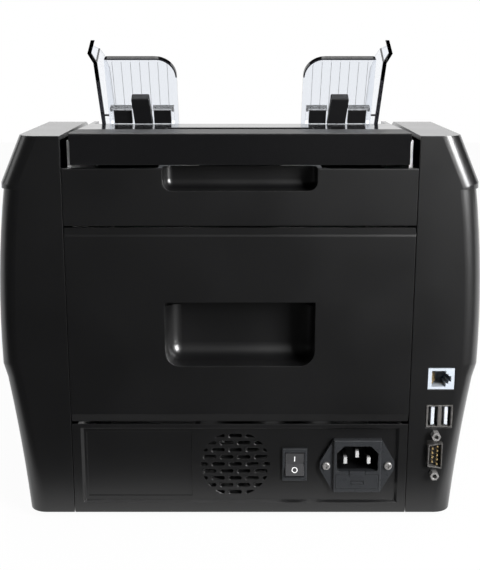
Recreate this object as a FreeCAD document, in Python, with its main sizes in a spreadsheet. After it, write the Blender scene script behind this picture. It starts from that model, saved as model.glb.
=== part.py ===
import FreeCAD, Part
import Sketcher
import math
import os

# Banknote counting machine. Millimetres, +Z up, front towards -Y, rear towards +Y.
# "left" is the operator's left, the -X side, which carries the data sockets.

SIZES = {
    "foot_height": 5, "case_height": 227, "case_depth": 250, "port_reach": 5,
    "wall": 2.5, "panel_thick": 3, "panel_seat": 5, "fit": 0.4, "run": 0.05,
    "seam_half": 100.4, "frame_outer": 97.2, "frame_thick": 2,
    "top_half": 124.4, "shoulder_half": 136.1, "bulge_top_half": 134.9, "kink_half": 140.8,
    "bottom_half": 128.5, "shoulder_drop": 26.6, "split_drop": 29.9, "kink_drop": 134.5,
    "bulge_radius": 640, "sill_in": 2.3, "sill_step": 8.5, "sill_radius": 1080,
    "rear_corner": 11, "rear_corner_top": 11,
    "flap_half": 94.9, "flap_height": 16, "cover_half": 95.4, "cover_thick": 3, "cover_rise": 1.5,
    "upper_top_drop": 18, "upper_bottom_drop": 50.8, "notch_half": 43.6, "notch_drop": 30.6,
    "notch_depth": 13, "notch_corner": 5,
    "door_top_drop": 51.8, "door_bottom_drop": 168.8, "door_band": 5, "door_bevel": 1.2,
    "grip_half": 43.6, "grip_top_drop": 95.4, "grip_bottom_drop": 134, "grip_depth": 20,
    "grip_corner": 8.8, "grip_lip": 4, "grip_hook": 8,
    "lower_top_drop": 170.2, "bay_half": 94.9, "bay_top_drop": 172.6, "bay_bottom_drop": 220.8,
    "bay_depth": 2, "label_in": 28.8, "label_out": 91.8, "label_top_drop": 175.8,
    "label_bottom_drop": 217, "label_depth": 0.5,
    "grille_x": 2.9, "power_drop": 196.4, "grille_radius": 20.8, "grille_row": 4.55,
    "grille_pitch": 10.27, "slot_length": 8, "slot_height": 2.46,
    "switch_x": 32.8, "switch_width": 15, "switch_height": 21, "rocker_half": 6.9,
    "rocker_width": 11, "rocker_tilt": 10,
    "inlet_x": 70.2, "inlet_half": 22.3, "inlet_height": 33.4, "inlet_body_half": 14.25,
    "inlet_screw_half": 18.5, "inlet_proud": 4.5, "drawer_half": 12.75, "drawer_height": 8.8,
    "jack_in": 21.05, "jack_shift": 0.7, "jack_width": 15.5, "jack_height": 12.9, "jack_drop": 141.7,
    "usb_width": 15.7, "usb_height": 13.9, "usb_drop": 165.1,
    "serial_shift": 2.05, "serial_width": 8.4, "serial_height": 16.2, "serial_drop": 189,
    "serial_screw_half": 12.5, "board_thick": 1.6,
    "lean": 28, "path_depth": 86, "guide_thick": 3, "guide_up": 46.2, "guide_side_up": 58.5,
    "guide_down": 35, "guide_inner": 38.9, "guide_outer": 83, "guide_side": 87, "guide_wall": 2.4,
    "guide_foot_in": 2.7, "guide_bow": 3, "finger_short": 12.2, "finger_tall": 21.5, "finger_depth": 4.2,
    "hinge_drop": 37, "hinge_ahead": 41.5, "pin_radius": 3, "cheek_inner": 92.5,
    "rack_pitch": 8, "rack_level": 9, "rack_thick": 5, "recess_in": 34, "recess_width": 15,
    "shaft_radius": 4, "pickup_down": 55, "pickup_radius": 13, "feed_down": 86,
    "feed_radius": 15, "retard_radius": 9, "carry_down": 146, "carry_radius": 12,
    "stack_ahead": 66.5, "stack_z": 48, "stack_radius": 30, "motor_behind": 25.5, "motor_z": 112,
    "motor_radius": 18, "motor_pulley": 8, "pickup_pulley": 10, "feed_pulley": 16,
    "carry_pulley": 10, "stack_pulley": 14, "belt_in": 101, "belt_width": 8, "belt_thick": 1.2,
    "belt_gap": 0.3, "frame_ahead": 45, "face_gap": 52, "face_top": 70, "face_bottom": 165,
    "floor_down": 72, "key_gap": 0.5, "key_proud": 2, "fan_size": 40, "fan_thick": 10,
}

doc = FreeCAD.newDocument("banknote_counter")
sheet = doc.addObject("Spreadsheet::Sheet", "dims")
for row, (name, value) in enumerate(SIZES.items(), start=1):
    sheet.set("A%d" % row, name)
    sheet.set("B%d" % row, str(value))
    sheet.setAlias("B%d" % row, name)
doc.recompute()


class Size:
    """A length that carries its number and the sheet formula it comes from."""

    def __init__(self, value, text):
        self.v = float(value)
        self.text = text

    def __add__(self, other):
        other = size(other)
        return Size(self.v + other.v, "(%s + %s)" % (self.text, other.text))

    def __sub__(self, other):
        other = size(other)
        return Size(self.v - other.v, "(%s - %s)" % (self.text, other.text))

    def __mul__(self, other):
        other = size(other)
        return Size(self.v * other.v, "(%s * %s)" % (self.text, other.text))

    def __truediv__(self, other):
        other = size(other)
        return Size(self.v / other.v, "(%s / %s)" % (self.text, other.text))

    def __radd__(self, other):
        return size(other) + self

    def __rsub__(self, other):
        return size(other) - self

    def __rmul__(self, other):
        return size(other) * self

    def __neg__(self):
        return self * -1


def size(value):
    return value if isinstance(value, Size) else Size(value, "(%r)" % float(value))


def least(first, second):
    return Size(min(first.v, second.v), "min(%s; %s)" % (first.text, second.text))


class Dims:
    pass


d = Dims()
for name in SIZES:
    setattr(d, name, Size(sheet.get(name), "dims." + name))

SIN = Size(math.sin(math.radians(d.lean.v)), "sin(dims.lean)")
COS = Size(math.cos(math.radians(d.lean.v)), "cos(dims.lean)")

top = d.foot_height + d.case_height
rear = d.case_depth / 2 - d.port_reach / 2
front = -(d.case_depth / 2 + d.port_reach / 2)
path_y = rear - d.path_depth
frame_inner = d.frame_outer - d.frame_thick
seat = rear - d.panel_seat
bay = rear - d.bay_depth
panel_half = d.seam_half - d.fit
frame_front = path_y - d.stack_ahead - d.frame_ahead
side_reach = d.kink_half + d.bottom_half
side_middle = (d.frame_outer + d.kink_half) / 2
jack_x = least(d.frame_outer + d.jack_in, side_middle - d.jack_shift)
serial_x = jack_x - d.serial_shift
NODES = []


def bind(obj, prop, value):
    obj.setExpression(prop, size(value).text)


def place(obj, x, y, z):
    for axis, value in zip("xyz", (x, y, z)):
        bind(obj, "Placement.Base." + axis, value)
    return obj


def box(x0, x1, y0, y1, z0, z1, name="block"):
    obj = doc.addObject("Part::Box", name)
    for prop, low, high in (("Length", x0, x1), ("Width", y0, y1), ("Height", z0, z1)):
        bind(obj, prop, size(high) - low)
    return place(obj, x0, y0, z0)


def rod(axis, radius, start, end, a, b, name="rod"):
    """Cylinder along one axis; a and b are the two other coordinates in x, y, z order."""
    obj = doc.addObject("Part::Cylinder", name)
    bind(obj, "Radius", radius)
    bind(obj, "Height", size(end) - start)
    turn = {"x": (FreeCAD.Vector(0, 1, 0), 90), "y": (FreeCAD.Vector(1, 0, 0), -90),
            "z": (FreeCAD.Vector(0, 0, 1), 0)}[axis]
    obj.Placement = FreeCAD.Placement(FreeCAD.Vector(), FreeCAD.Rotation(*turn))
    spot = {"x": (start, a, b), "y": (a, start, b), "z": (a, b, start)}[axis]
    return place(obj, *spot)


def fuse(*shapes, name="union"):
    shapes = list(shapes)
    if len(shapes) == 1:
        return shapes[0]
    obj = doc.addObject("Part::MultiFuse", name)
    obj.Shapes = shapes
    obj.Refine = True
    return obj


def cut(base, *tools, name="cut"):
    obj = doc.addObject("Part::Cut", name)
    obj.Base = base
    obj.Tool = fuse(*tools)
    obj.Refine = True
    return obj


def overlap(*shapes, name="shared"):
    obj = doc.addObject("Part::MultiCommon", name)
    obj.Shapes = list(shapes)
    return obj


def group(*shapes, name="set"):
    obj = doc.addObject("Part::Compound", name)
    obj.Links = list(shapes)
    return obj


def soften(base, radius, pick, name="soft"):
    """Round the edges that pick(edge) chooses."""
    doc.recompute()
    obj = doc.addObject("Part::Fillet", name)
    obj.Base = base
    chosen = [i + 1 for i, edge in enumerate(base.Shape.Edges) if pick(edge)]
    obj.Edges = [(i, size(radius).v, size(radius).v) for i in chosen]
    return obj


def tilt(obj):
    """Set a piece that is drawn along the note path into the case."""
    if obj.TypeId == "Part::Box":
        obj = group(obj)
    obj.Placement = FreeCAD.Placement(
        FreeCAD.Vector(), FreeCAD.Rotation(FreeCAD.Vector(-1, 0, 0), d.lean.v))
    bind(obj, "Placement.Rotation.Angle", d.lean)
    return place(obj, 0, path_y, top)


def path_point(across, along):
    """Case y and z of a point drawn along the note path."""
    return path_y + along * SIN + across * COS, top + along * COS - across * SIN


def middle(edge):
    return edge.valueAt((edge.FirstParameter + edge.LastParameter) / 2)


def runs_along(edge, axis):
    if len(edge.Vertexes) < 2:
        return False
    span = edge.Vertexes[1].Point - edge.Vertexes[0].Point
    return span.Length > 1e-6 and abs(getattr(span, axis)) > 0.9999 * span.Length


def near(a, b):
    return abs(a - size(b).v) < 0.02


def prism(name, plane, points, start, end, bows=None):
    """Padded sketch; bows maps a side to the radius of its outward arc and its turn."""
    body = doc.addObject("PartDesign::Body", name)
    sketch = body.newObject("Sketcher::SketchObject", name + "_profile")
    index = {"XY": 3, "XZ": 4, "YZ": 5}[plane]
    sketch.AttachmentSupport = [(body.Origin.OriginFeatures[index], "")]
    sketch.MapMode = "FlatFace"
    bind(sketch, "AttachmentOffset.Base.z", -size(end) if plane == "XZ" else start)
    points = [(size(a), size(b)) for a, b in points]
    spots = [FreeCAD.Vector(a.v, b.v, 0) for a, b in points]
    bows = bows or {}
    for i, spot in enumerate(spots):
        after = spots[(i + 1) % len(spots)]
        if i in bows:
            radius, turn = bows[i]
            radius = size(radius)
            chord = after - spot
            rise = radius.v - math.sqrt(radius.v ** 2 - (chord.Length / 2) ** 2)
            side = FreeCAD.Vector(chord.y, -chord.x, 0).normalize() * turn
            sketch.addGeometry(Part.Arc(spot, (spot + after) * 0.5 + side * rise, after))
        else:
            sketch.addGeometry(Part.LineSegment(spot, after))
    ends = []
    for i, spot in enumerate(spots):
        first = sketch.getPoint(i, 1)
        ends.append((1, 2) if (first - spot).Length < 1e-6 else (2, 1))
    for i, (a, b) in enumerate(points):
        follow = (i + 1) % len(points)
        sketch.addConstraint(Sketcher.Constraint(
            "Coincident", i, ends[i][1], follow, ends[follow][0]))
        for kind, value in (("DistanceX", a), ("DistanceY", b)):
            at = sketch.addConstraint(Sketcher.Constraint(kind, -1, 1, i, ends[i][0], value.v))
            sketch.setExpression("Constraints[%d]" % at, value.text)
        if i in bows:
            radius = size(bows[i][0])
            at = sketch.addConstraint(Sketcher.Constraint("Radius", i, radius.v))
            sketch.setExpression("Constraints[%d]" % at, radius.text)
    pad = body.newObject("PartDesign::Pad", name + "_pad")
    pad.Profile = sketch
    bind(pad, "Length", size(end) - start)
    body.Tip = pad
    return body


def mirrored(side, low, high):
    """X range low..high on the +X side (side 1) or on the -X side (side -1)."""
    return (size(low), size(high)) if side > 0 else (-size(high), -size(low))


def node(label, obj):
    obj.Label = label
    NODES.append(obj)
    return obj


# Side housings: bulged lower shell, chamfered shoulder, hollow, open towards the frames.
OUTLINE_BENDS = ((0.247, -1), (0.701, -0.761), (0.896, -0.4545), (1, -0.188))


def side_outline(name, side, inset, radius, x0, x1):
    brow = ((rear - 105, top), (front + 82.5, top - 33), (front + 24.5, top - 124),
            (front, top - 187))
    points = [(rear - inset, d.foot_height + inset), (rear - inset, top - inset)]
    for (y, z), (dy, dz) in zip(brow, OUTLINE_BENDS):
        points.append((y + inset * dy, z + inset * dz))
    points.append((front + inset, d.foot_height + inset))
    plate = prism(name, "YZ", points, *mirrored(side, x0, x1))
    low_y, high_z = rear.v - 20, d.foot_height.v + 20
    return soften(plate, radius, lambda e: runs_along(e, "x") and middle(e).y < low_y
                  and middle(e).z > high_z)


def housing_edges(side, inner):
    return lambda e: not (runs_along(e, "x") or runs_along(e, "y")) and middle(e).y > rear.v - 20 and (
        max(abs(v.Point.x - side * size(inner).v) for v in e.Vertexes) > 1)


def housing_block(name, side, inset, inner):
    low = d.foot_height + inset
    split = top - d.split_drop
    kink = top - d.kink_drop
    lower = [(inner, low), (d.bottom_half - inset, low),
             (d.kink_half - d.sill_in - inset, kink - d.sill_step), (d.kink_half - inset, kink),
             (d.bulge_top_half - inset, split), (inner, split)]
    upper = [(inner, split), (d.shoulder_half - inset * 1.1, split),
             (d.shoulder_half - inset * 1.1, top - d.shoulder_drop),
             (d.top_half - inset * 1.1, top - inset), (inner, top - inset)]
    bows = {1: (d.sill_radius + inset, -side), 3: (d.bulge_radius - inset, side)}
    blocks = []
    for label, points, arcs, radius in (("lower", lower, bows, d.rear_corner),
                                        ("upper", upper, None, d.rear_corner_top)):
        points = [(x * side, z) for x, z in points]
        bar = prism(name + label, "XZ", points, front - 5, rear + 5, arcs)
        frame = side_outline(name + label + "_outline", side, inset, 18 - inset, d.seam_half - 5,
                             side_reach)
        block = overlap(bar, frame)
        blocks.append(soften(block, radius - inset, housing_edges(side, inner)))
    return fuse(*blocks)


BOSSES = ((rear - 22.5, top - 37), (rear - 54.5, d.foot_height + 20),
          (frame_front + 15, d.foot_height + 30), (frame_front + 15, top - 107))


def housing(label, side, openings):
    outer = housing_block(label + "_outer_", side, size(0.0), d.seam_half)
    inner = housing_block(label + "_inner_", side, d.wall, d.seam_half - 1)
    stubs = [rod("x", 5, *mirrored(side, d.frame_outer, d.seam_half + 1), y, z) for y, z in BOSSES]
    posts = [rod("x", 5, *mirrored(side, d.seam_half, side_reach), y, z) for y, z in BOSSES]
    shell = cut(outer, inner)
    body = fuse(shell, *stubs, overlap(fuse(*posts), outer))
    return node(label, cut(body, *openings) if openings else body)


jack_z = top - d.jack_drop
usb_z = top - d.usb_drop
serial_z = top - d.serial_drop


def port_hole(x, z, width, height, spare):
    return box(-x - width / 2 - spare, -x + width / 2 + spare, rear - d.wall - 1, rear + 1,
               z - height / 2 - spare, z + height / 2 + spare)


ports = [port_hole(jack_x, jack_z, d.jack_width, d.jack_height, d.fit),
         port_hole(jack_x, usb_z, d.usb_width, d.usb_height, d.fit),
         port_hole(serial_x, serial_z, d.serial_width, d.serial_height, d.fit)]
ports += [rod("y", 1.7, rear - d.wall - 1, rear + 1, -serial_x, serial_z + s * d.serial_screw_half)
          for s in (-1, 1)]
housing("left_housing", -1, ports)
housing("right_housing", 1, [])

# Chassis.
tray_y0 = front + 5
node("base_tray", box(-panel_half, panel_half, tray_y0, seat, d.foot_height, d.foot_height + 3))
tray = d.foot_height + 3
feet = [rod("z", 9, 0, d.foot_height, x, y)
        for x in (18 - panel_half, panel_half - 18) for y in (front + 32.5, rear - 32.5)]
node("rubber_feet", group(*feet))

pickup = path_point(d.pickup_radius - 1, -d.pickup_down)
feed = path_point(d.feed_radius, -d.feed_down)
carry = path_point(d.carry_radius, -d.carry_down)
stack = (path_y - d.stack_ahead, d.stack_z)
motor = (path_y + d.motor_behind, d.motor_z)
SHAFTS = (pickup, feed, carry, stack)
hinge = (path_y - d.hinge_ahead, top - d.hinge_drop)
door_bottom = top - d.door_bottom_drop
door_axis = (rear - 6.5, door_bottom + 4)
cover_under = top - d.cover_thick
brow_up = path_point(-d.face_gap, -(d.face_top + 12))
brow_low = path_point(-d.face_gap, -(d.face_bottom - 5))
door_top = top - d.door_top_drop

for label, side in (("left_side_frame", -1), ("right_side_frame", 1)):
    x0, x1 = mirrored(side, frame_inner, d.frame_outer)
    outline = [(frame_front, tray), (seat, tray), (seat, door_bottom - 3), (seat - 8, door_bottom - 3),
               (seat - 8, door_top + 2), (seat, door_top + 2), (seat, cover_under),
               (path_y - 6.5, cover_under), (hinge[0] - 20, hinge[1] + 9), brow_up, brow_low,
               (frame_front, brow_low[1] - 12)]
    plate = prism(label + "_plate", "YZ", outline, x0, x1)
    holes = [rod("x", d.shaft_radius + 2, x0 - 1, x1 + 1, *spot) for spot in SHAFTS]
    holes.append(rod("x", d.pin_radius, x0 - 1, x1 + 1, *hinge))
    if side > 0:
        holes.append(rod("x", 6, x0 - 1, x1 + 1, *motor))
    node(label, cut(plate, *holes))

bushes = []
for side in (-1, 1):
    for spot in SHAFTS:
        barrel = rod("x", d.shaft_radius + 2, *mirrored(side, frame_inner, d.frame_outer), *spot)
        rim = rod("x", d.shaft_radius + 4, *mirrored(side, d.frame_outer, d.frame_outer + 1.5), *spot)
        bore = rod("x", d.shaft_radius + d.run, *mirrored(side, frame_inner - 1, d.frame_outer + 3), *spot)
        bushes.append(cut(fuse(barrel, rim), bore))
node("shaft_bushings", group(*bushes))

# Upper rear panel with the finger notch below the flap.
up_top = top - d.upper_top_drop
up_low = top - d.upper_bottom_drop
notch = top - d.notch_drop
skin = rear - d.panel_thick
plate = soften(box(-panel_half, panel_half, skin, rear, up_low, up_top), 0.8,
               lambda e: runs_along(e, "x") and near(middle(e).y, rear))
tub = box(-d.notch_half - 2.5, d.notch_half + 2.5, rear - d.notch_depth - 2.5, skin, notch - 2.5, up_top)
hollow = box(-d.notch_half, d.notch_half, rear - d.notch_depth, rear + 1, notch, up_top + 1)
hollow = soften(hollow, d.notch_corner, lambda e: (runs_along(e, "y") and near(middle(e).z, notch))
                or (near(middle(e).y, rear - d.notch_depth) and middle(e).z < up_top.v))
ribs = [box(*mirrored(s, 94.5, 98), seat, skin, up_low, up_top) for s in (-1, 1)]
node("upper_rear_panel", cut(fuse(plate, tub, *ribs), hollow))

# Rear door with a hand-hold pocket; it folds down on two lugs along its lower edge.
grip_top = top - d.grip_top_drop
grip_low = top - d.grip_bottom_drop
slab = prism("door_slab", "YZ",
             [(skin, door_bottom), (rear - d.door_bevel, door_bottom), (rear, door_bottom + d.door_band),
              (rear, door_top - d.door_band), (rear - d.door_bevel, door_top), (skin, door_top)],
             -panel_half, panel_half)
back = rear - d.grip_depth
tub = box(-d.grip_half - 2.5, d.grip_half + 2.5, back - 2.5, skin, grip_low - 2.5,
          grip_top + d.grip_hook + 2.5)
hollow = box(-d.grip_half, d.grip_half, back, rear + 1, grip_low, grip_top)
hollow = soften(hollow, d.grip_corner, lambda e: (runs_along(e, "y") and near(middle(e).z, grip_low))
                or (near(middle(e).y, back) and middle(e).z < grip_top.v))
hook = box(-d.grip_half, d.grip_half, back, rear - d.grip_lip, grip_top - 6, grip_top + d.grip_hook)
lugs = []
bores = []
for side in (-1, 1):
    x0, x1 = mirrored(side, 85, 91)
    lugs.append(box(x0, x1, door_axis[0] - 4.5, skin, door_bottom + 0.5, door_bottom + 9))
    bores.append(rod("x", d.pin_radius - 0.5 + d.run, x0 - 1, x1 + 1, *door_axis))
node("rear_door", cut(fuse(slab, tub, *lugs), hollow, hook, *bores))

# Lower rear panel: bevelled bay, fan grille, switch, inlet and a bare label field.
low_top = top - d.lower_top_drop
bay_top = top - d.bay_top_drop
bay_low = top - d.bay_bottom_drop
power_z = top - d.power_drop
plate = prism("lower_slab", "YZ", [(seat, d.foot_height), (rear, d.foot_height), (rear, low_top),
                                   (rear - 1, low_top), (seat, low_top - 1.8)], -panel_half, panel_half)
bevel = doc.addObject("Part::Wedge", "bay_bevel")
bevel.Placement = FreeCAD.Placement(FreeCAD.Vector(), FreeCAD.Rotation(FreeCAD.Vector(1, 0, 0), 0))
for prop, value in (("Xmin", -d.bay_half + 1.5), ("Xmax", d.bay_half - 1.5), ("Ymin", bay),
                    ("Ymax", rear), ("Zmin", bay_low + 1.2), ("Zmax", bay_top - 1.2),
                    ("X2min", -d.bay_half), ("X2max", d.bay_half), ("Z2min", bay_low), ("Z2max", bay_top)):
    bind(bevel, prop, value)
label_field = box(d.label_in, d.label_out, bay - d.label_depth, rear, top - d.label_bottom_drop,
                  top - d.label_top_drop)
slots = []
for row in range(-4, 5):
    shift = 0 if row % 2 == 0 else 0.5
    for column in range(-3, 4):
        x = d.grille_x + d.grille_pitch * (column + shift)
        z = power_z + d.grille_row * row
        half = d.slot_length / 2 - d.slot_height / 2
        bar = box(x - half, x + half, seat - 1, bay + 1, z - d.slot_height / 2, z + d.slot_height / 2)
        tips = [rod("y", d.slot_height / 2, seat - 1, bay + 1, x + s * half, z) for s in (-1, 1)]
        if math.hypot((column + shift) * d.grille_pitch.v, row * d.grille_row.v) < d.grille_radius.v + 2:
            slots += [bar] + tips
grille = overlap(fuse(*slots), rod("y", d.grille_radius, seat - 2, bay + 2, d.grille_x, power_z))
switch_hole = box(-d.switch_x - 6.7, -d.switch_x + 6.7, seat - 1, bay + 1, power_z - 9.7, power_z + 9.7)
inlet_hole = box(-d.inlet_x - 13.9, -d.inlet_x + 13.9, seat - 1, bay + 1, power_z - 15.4, power_z + 15.4)
screw_holes = [rod("y", 1.7, seat - 1, bay + 1, -d.inlet_x + s * d.inlet_screw_half, power_z)
               for s in (-1, 1)]
ears = []
for side in (-1, 1):
    x0, x1 = mirrored(side, 78, 84.5)
    ear = fuse(box(x0, x1, door_axis[0] - 9, seat, low_top - 9, low_top - 5),
               box(x0, x1, door_axis[0] - 9, door_axis[0] - 5.5, low_top - 9, door_axis[1] + 3),
               box(x0, x1, door_axis[0] - 9, door_axis[0], door_axis[1] - 2.5, door_axis[1] + 3),
               rod("x", 3, x0, x1, *door_axis))
    ears.append(cut(ear, rod("x", d.pin_radius - 0.5, x0 - 1, x1 + 1, *door_axis)))
body = fuse(plate, *ears)
node("lower_rear_panel", cut(body, bevel, label_field, grille, switch_hole, inlet_hole, *screw_holes))

pins = []
for side in (-1, 1):
    pins.append(rod("x", d.pin_radius - 0.5, *mirrored(side, 78, 91), *door_axis))
    pins.append(rod("x", d.pin_radius, *mirrored(side, d.cheek_inner + 0.2, d.frame_outer), *hinge))
node("hinge_pins", group(*pins))

# Power entry.
sx = -d.switch_x
deep = bay - 20
bezel = soften(box(sx - d.switch_width / 2, sx + d.switch_width / 2, bay, bay + 1.8,
                   power_z - d.switch_height / 2, power_z + d.switch_height / 2), 0.7,
               lambda e: near(middle(e).y, bay + 1.8))
shell = box(sx - 6.5, sx + 6.5, deep, bay, power_z - 9.5, power_z + 9.5)
well = box(sx - d.rocker_width / 2 - 0.3, sx + d.rocker_width / 2 + 0.3, deep + 8, rear + 5,
           power_z - d.rocker_half - 1, power_z + d.rocker_half + 1)
pivot = (bay - 0.6, power_z)
trunnion_hole = rod("x", 1.2 + d.run, sx - 6.45, sx + 6.45, *pivot)
node("switch_bezel", cut(fuse(bezel, shell), well, trunnion_hole))
profile = [(-3.5, -2), (1.2, -d.rocker_half), (3.6, -d.rocker_half), (2, 0), (3.6, d.rocker_half),
           (1.2, d.rocker_half), (-3.5, 2)]
rocker = prism("rocker_blade", "YZ", profile, -d.rocker_width / 2, d.rocker_width / 2)
rocker.Placement = FreeCAD.Placement(FreeCAD.Vector(), FreeCAD.Rotation(FreeCAD.Vector(1, 0, 0), 10))
bind(rocker, "Placement.Rotation.Angle", d.rocker_tilt)
trunnion = rod("x", 1.2, sx - 6.4, sx + 6.4, *pivot)
node("switch_rocker", fuse(place(rocker, sx, *pivot), trunnion))

ix = -d.inlet_x
half_h = d.inlet_height / 2
flange = prism("inlet_flange", "XZ",
               [(ix - d.inlet_body_half, power_z - half_h), (ix + d.inlet_body_half, power_z - half_h),
                (ix + d.inlet_half, power_z - 2.4), (ix + d.inlet_half, power_z + 2.4),
                (ix + d.inlet_body_half, power_z + half_h), (ix - d.inlet_body_half, power_z + half_h),
                (ix - d.inlet_half, power_z + 2.4), (ix - d.inlet_half, power_z - 2.4)], bay, bay + 2.6)
face = bay + d.inlet_proud
raised = soften(box(ix - d.inlet_body_half, ix + d.inlet_body_half, bay, face, power_z - half_h,
                    power_z + half_h), 0.8, lambda e: near(middle(e).y, face))
body = box(ix - 13.5, ix + 13.5, bay - 32, bay, power_z - 15, power_z + 15)
cavity = prism("inlet_cavity", "XZ",
               [(ix - 10.8, power_z - 3), (ix + 10.8, power_z - 3), (ix + 12, power_z - 2.5),
                (ix + 12.4, power_z - 1.4), (ix + 12.4, power_z + 8.5), (ix + 8, power_z + 13.1),
                (ix - 8, power_z + 13.1), (ix - 12.4, power_z + 8.5), (ix - 12.4, power_z - 1.4),
                (ix - 12, power_z - 2.5)], face - 17, face + 1)
drawer_top = power_z - 5.2
drawer_low = drawer_top - d.drawer_height
bay_slot = box(ix - d.drawer_half - 0.2, ix + d.drawer_half + 0.2, bay - 29, face + 1, drawer_low - 0.2,
               drawer_top + 0.2)
tab_slot = box(ix - 4.9, ix + 4.9, face - 2.2, face + 1, drawer_top, power_z - 2.5)
threads = [rod("y", 1.7, bay - 1, face + 1, ix + s * d.inlet_screw_half, power_z) for s in (-1, 1)]
node("mains_inlet", cut(fuse(flange, raised, body), cavity, bay_slot, tab_slot, *threads))
blades = [box(ix + x - 1, ix + x + 1, face - 17, face - 2.5, power_z + z - 2, power_z + z + 2)
          for x, z in ((-7, 3), (7, 3), (0, 7))]
node("inlet_pins", group(*blades))
screws = []
for side in (-1, 1):
    x = ix + side * d.inlet_screw_half
    head = soften(rod("y", 2.4, bay + 2.6, bay + 4.2, x, power_z), 0.9,
                  lambda e: near(middle(e).y, bay + 4.2))
    cross = [box(x - 1.4, x + 1.4, bay + 3.4, bay + 5, power_z - 0.3, power_z + 0.3),
             box(x - 0.3, x + 0.3, bay + 3.4, bay + 5, power_z - 1.4, power_z + 1.4)]
    screws.append(cut(fuse(head, rod("y", 1.5, seat - 4, bay + 3, x, power_z)), *cross))
node("inlet_screws", group(*screws))
drawer = box(ix - d.drawer_half, ix + d.drawer_half, bay - 28, face, drawer_low, drawer_top)
tab = box(ix - 4.6, ix + 4.6, face - 2, face + 0.4, drawer_top - 1, power_z - 2.8)
fuse_bed = box(ix - 10.5, ix + 10.5, bay - 24, bay - 4, drawer_low + 1.5, drawer_top + 1)
fuse_mark = [box(ix - 4, ix + 4, face - 0.4, face + 1, drawer_low + 2.7, drawer_low + 5.1)]
mark_core = box(ix - 3.4, ix + 3.4, face - 1, face, drawer_low + 3.2, drawer_low + 4.6)
node("fuse_drawer", fuse(cut(fuse(drawer, tab), fuse_bed, *fuse_mark), mark_core))

# Fan behind the grille.
fx = d.grille_x
half = d.fan_size / 2
fan_back = seat - d.fan_thick
ring = cut(soften(box(fx - half, fx + half, fan_back, seat, power_z - half, power_z + half), 3,
                  lambda e: runs_along(e, "y")), rod("y", half - 1, fan_back - 1, seat + 1, fx, power_z))
spider = [rod("y", 9, fan_back, fan_back + 1.2, fx, power_z), rod("y", 1.5, fan_back, seat - 2, fx, power_z)]
spider.append(box(fx - half + 0.5, fx + half - 0.5, fan_back, fan_back + 1.2, power_z - 1, power_z + 1))
spider.append(box(fx - 1, fx + 1, fan_back, fan_back + 1.2, power_z - half + 0.5, power_z + half - 0.5))
node("fan_frame", fuse(ring, *spider))
vanes = [rod("y", 9.5, fan_back + 1.6, seat - 1, fx, power_z)]
for k in range(7):
    vane = box(6, half - 2, -0.6, 0.6, -3.4, 3.4)
    lift = FreeCAD.Rotation(FreeCAD.Vector(1, 0, 0), 40)
    spin = FreeCAD.Rotation(FreeCAD.Vector(0, 1, 0), 360 / 7 * k)
    stand = FreeCAD.Rotation(FreeCAD.Vector(1, 0, 0), 90)
    holder = fuse(vane, box(6, 8, -0.5, 0.5, -0.5, 0.5))
    holder.Placement = FreeCAD.Placement(FreeCAD.Vector(), spin * stand * lift)
    vanes.append(place(holder, fx, fan_back + 5.2, power_z))
node("fan_rotor", cut(fuse(*vanes), rod("y", 1.5 + d.run, fan_back, seat, fx, power_z)))

# Sockets on their own upright board inside the left housing.
bf = d.jack_width / 2 - jack_x
plug = rear + 0.2
board = box(bf, bf + d.board_thick, rear - 42, rear - 4, serial_z - 24, jack_z + 12)
legs = [rod("x", 3, bf + d.board_thick, -d.frame_outer, y, z)
        for y in (rear - 36, rear - 12) for z in (serial_z - 18, jack_z + 6)]
node("socket_board", fuse(board, *legs))
jack = box(-jack_x - d.jack_width / 2, bf, rear - 18, plug, jack_z - d.jack_height / 2,
           jack_z + d.jack_height / 2)
throat = [box(bf - 10.5, bf - 2.2, rear - 13, rear + 1, jack_z - 4.9, jack_z + 4.9),
          box(bf - 12, bf - 10, rear - 13, rear + 1, jack_z - 3, jack_z + 3),
          box(bf - 13.6, bf - 11.5, rear - 13, rear + 1, jack_z - 1.7, jack_z + 1.7)]
node("network_jack", cut(jack, *throat))
shell = box(-jack_x - d.usb_width / 2, bf, rear - 18, plug, usb_z - d.usb_height / 2,
            usb_z + d.usb_height / 2)
mouths = [box(bf - x - 5.6, bf - x, rear - 13, rear + 1, usb_z - 6.2, usb_z + 6.2) for x in (1.1, 9)]
node("usb_sockets", cut(shell, *mouths))
tongues = [box(bf - x - 3.8, bf - x - 1.9, rear - 13, rear - 1, usb_z - 5.6, usb_z + 5.6) for x in (1.1, 9)]
node("usb_tongues", group(*tongues))
sp = -serial_x
inner_wall = rear - d.wall
wide = d.serial_width / 2
plate = box(sp - wide, bf, inner_wall - 1.5, inner_wall, serial_z - 15.5, serial_z + 15.5)
tall = d.serial_height / 2
hood = prism("serial_hood", "XZ", [(sp - wide, serial_z - tall), (sp + wide, serial_z - tall + 1.2),
                                   (sp + wide, serial_z + tall - 1.2), (sp - wide, serial_z + tall)],
             inner_wall - 1.5, rear + 3.5)
hollow = prism("serial_hollow", "XZ", [(sp - wide + 0.6, serial_z - tall + 0.7),
                                       (sp + wide - 0.6, serial_z - tall + 1.8),
                                       (sp + wide - 0.6, serial_z + tall - 1.8),
                                       (sp - wide + 0.6, serial_z + tall - 0.7)], rear - 2, rear + 4)
tail = box(sp - 4, bf, inner_wall - 10, inner_wall - 1.5, serial_z - 9, serial_z + 9)
drilled = [rod("y", 1.6, inner_wall - 3, inner_wall + 1, sp, serial_z + s * d.serial_screw_half)
           for s in (-1, 1)]
node("serial_socket", cut(fuse(plate, hood, tail), hollow, *drilled))
contacts = [rod("y", 0.5, rear - 2, rear + 2.6, sp - 1.4, serial_z + 2.77 * k) for k in range(-2, 3)]
contacts += [rod("y", 0.5, rear - 2, rear + 2.6, sp + 1.4, serial_z + 2.77 * (k + 0.5))
             for k in range(-2, 2)]
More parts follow.
